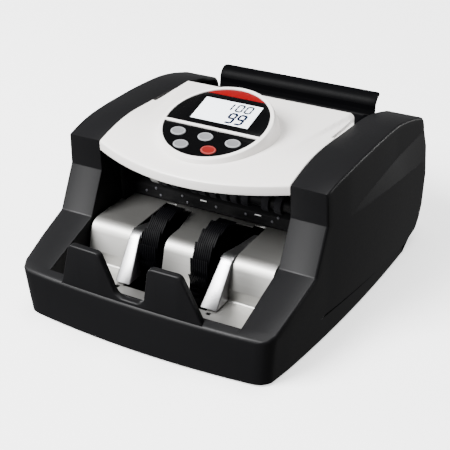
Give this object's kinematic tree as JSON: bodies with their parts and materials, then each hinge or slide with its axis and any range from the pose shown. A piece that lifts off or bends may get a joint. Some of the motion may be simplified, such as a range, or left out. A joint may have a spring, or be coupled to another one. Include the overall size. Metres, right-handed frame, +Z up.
{
  "type": "banknote counting machine",
  "caption": "Desk banknote counter with a rear hopper, round display and key island on a white top cover, and two vaned stacker wheels over a folded stainless plate.",
  "frame": {"origin": "middle of the footprint, on the surface the machine stands on", "axes": "+X to the machine's right seen from the front, +Y towards the rear (hopper and power inlet), +Z up"},
  "size_m": [0.29, 0.327, 0.1785],
  "materials": {
    "black_plastic": "fine satin texture",
    "white_plastic": "soft gloss",
    "gloss_black": "high gloss",
    "red_plastic": "gloss",
    "key_grey": "satin",
    "key_red": "satin",
    "lcd": "clear window over a pale display",
    "stainless": "brushed along X",
    "zinc_steel": "zinc plated",
    "painted_frame": "powder coat",
    "rubber": "matt",
    "nylon": "moulded",
    "circuit_board": "solder mask"
  },
  "bodies": {
    "chassis": {"accent_panel": "red_plastic", "base_tray": "black_plastic", "cross_plate": "painted_frame", "display_panel": "gloss_black", "drive_belt": "rubber", "feed_bearing_left": "zinc_steel", "feed_bearing_right": "zinc_steel", "foot_1": "rubber", "foot_2": "rubber", "foot_3": "rubber", "foot_4": "rubber", "guide_rod": "zinc_steel", "hopper_plate": "black_plastic", "key_panel": "gloss_black", "lcd_screen": "lcd", "left_frame_plate": "painted_frame", "left_note_rib": "stainless", "left_side_cover": "black_plastic", "main_board": "circuit_board", "motor": "zinc_steel", "note_stop": "black_plastic", "panel_board": "circuit_board", "pickup_belt": "rubber", "power_inlet": "black_plastic", "right_frame_plate": "painted_frame", "right_note_rib": "stainless", "right_side_cover": "black_plastic", "sensor_bar": "black_plastic", "separator_block": "black_plastic", "stacker_bearing_left": "zinc_steel", "stacker_bearing_right": "zinc_steel", "stacker_belt": "rubber", "stacker_plate": "stainless", "switch_frame": "black_plastic", "top_cover": "white_plastic", "transformer": "zinc_steel"},
    "key_mode": {"key_mode": "key_grey"},
    "key_add": {"key_add": "key_grey"},
    "key_batch": {"key_batch": "key_grey"},
    "key_detect": {"key_detect": "key_grey"},
    "key_reset": {"key_reset": "key_red"},
    "rocker": {"power_rocker": "black_plastic"},
    "left_bill_guide": {"left_bill_guide": "black_plastic"},
    "right_bill_guide": {"right_bill_guide": "black_plastic"},
    "knob": {"adjusting_knob": "black_plastic"},
    "rear_door": {"rear_door": "black_plastic"},
    "feed": {"feed_shaft": "zinc_steel", "feed_roller": "rubber", "feed_gear": "nylon", "encoder_disc": "painted_frame"},
    "stacker": {"stacker_shaft": "zinc_steel", "left_stacker_wheel": "rubber", "right_stacker_wheel": "rubber"},
    "exit": {"exit_roller": "rubber", "exit_gear": "nylon"},
    "pickup": {"pickup_shaft": "zinc_steel", "left_pickup_roller": "rubber", "right_pickup_roller": "rubber"},
    "motor_rotor": {"motor_pulley": "zinc_steel"}
  },
  "joints": [
    {"name": "key_mode_press", "type": "slide", "parent": "chassis", "child": "key_mode", "axis": [0, 0.2622, -0.965], "range_m": [0, 0.0008], "stiffness_N_per_m": 400, "springref_m": -0.001},
    {"name": "key_add_press", "type": "slide", "parent": "chassis", "child": "key_add", "axis": [0, 0.2622, -0.965], "range_m": [0, 0.0008], "stiffness_N_per_m": 400, "springref_m": -0.001},
    {"name": "key_batch_press", "type": "slide", "parent": "chassis", "child": "key_batch", "axis": [0, 0.2622, -0.965], "range_m": [0, 0.0008], "stiffness_N_per_m": 400, "springref_m": -0.001},
    {"name": "key_detect_press", "type": "slide", "parent": "chassis", "child": "key_detect", "axis": [0, 0.2622, -0.965], "range_m": [0, 0.0008], "stiffness_N_per_m": 400, "springref_m": -0.001},
    {"name": "key_reset_press", "type": "slide", "parent": "chassis", "child": "key_reset", "axis": [0, 0.2622, -0.965], "range_m": [0, 0.0008], "stiffness_N_per_m": 400, "springref_m": -0.001},
    {"name": "power_switch", "type": "hinge", "parent": "chassis", "child": "rocker", "pos_m": [0.06, 0.137, 0.032], "axis": [1, 0, 0], "range_deg": [0, 10]},
    {"name": "left_bill_guide_slide", "type": "slide", "parent": "chassis", "child": "left_bill_guide", "axis": [1, 0, 0], "range_m": [0, 0.024]},
    {"name": "right_bill_guide_slide", "type": "slide", "parent": "chassis", "child": "right_bill_guide", "axis": [-1, 0, 0], "range_m": [0, 0.024]},
    {"name": "gap_adjuster", "type": "hinge", "parent": "chassis", "child": "knob", "pos_m": [0, 0.096, 0.127], "axis": [0, 0, 1], "range_deg": [-180, 180]},
    {"name": "rear_door_hinge", "type": "hinge", "parent": "chassis", "child": "rear_door", "pos_m": [0, 0.1465, 0.0535], "axis": [-1, 0, 0], "range_deg": [0, 90]},
    {"name": "feed_spin", "type": "hinge", "parent": "chassis", "child": "feed", "pos_m": [0, 0.05, 0.079], "axis": [1, 0, 0], "continuous": true},
    {"name": "stacker_spin", "type": "hinge", "parent": "chassis", "child": "stacker", "pos_m": [0, -0.0575, 0.0455], "axis": [1, 0, 0], "continuous": true},
    {"name": "exit_spin", "type": "hinge", "parent": "chassis", "child": "exit", "pos_m": [0, -0.022, 0.1], "axis": [1, 0, 0], "continuous": true},
    {"name": "pickup_spin", "type": "hinge", "parent": "chassis", "child": "pickup", "pos_m": [0, 0.098, 0.091], "axis": [1, 0, 0], "continuous": true},
    {"name": "motor_rotor_spin", "type": "hinge", "parent": "chassis", "child": "motor_rotor", "pos_m": [0.112, 0.108, 0.041], "axis": [1, 0, 0], "continuous": true}
  ],
  "couplings": [
    {"joint": "stacker_spin", "follows": "feed_spin", "ratio": 0.5},
    {"joint": "exit_spin", "follows": "feed_spin", "ratio": -2},
    {"joint": "pickup_spin", "follows": "feed_spin", "ratio": 1},
    {"joint": "motor_rotor_spin", "follows": "feed_spin", "ratio": 2}
  ]
}
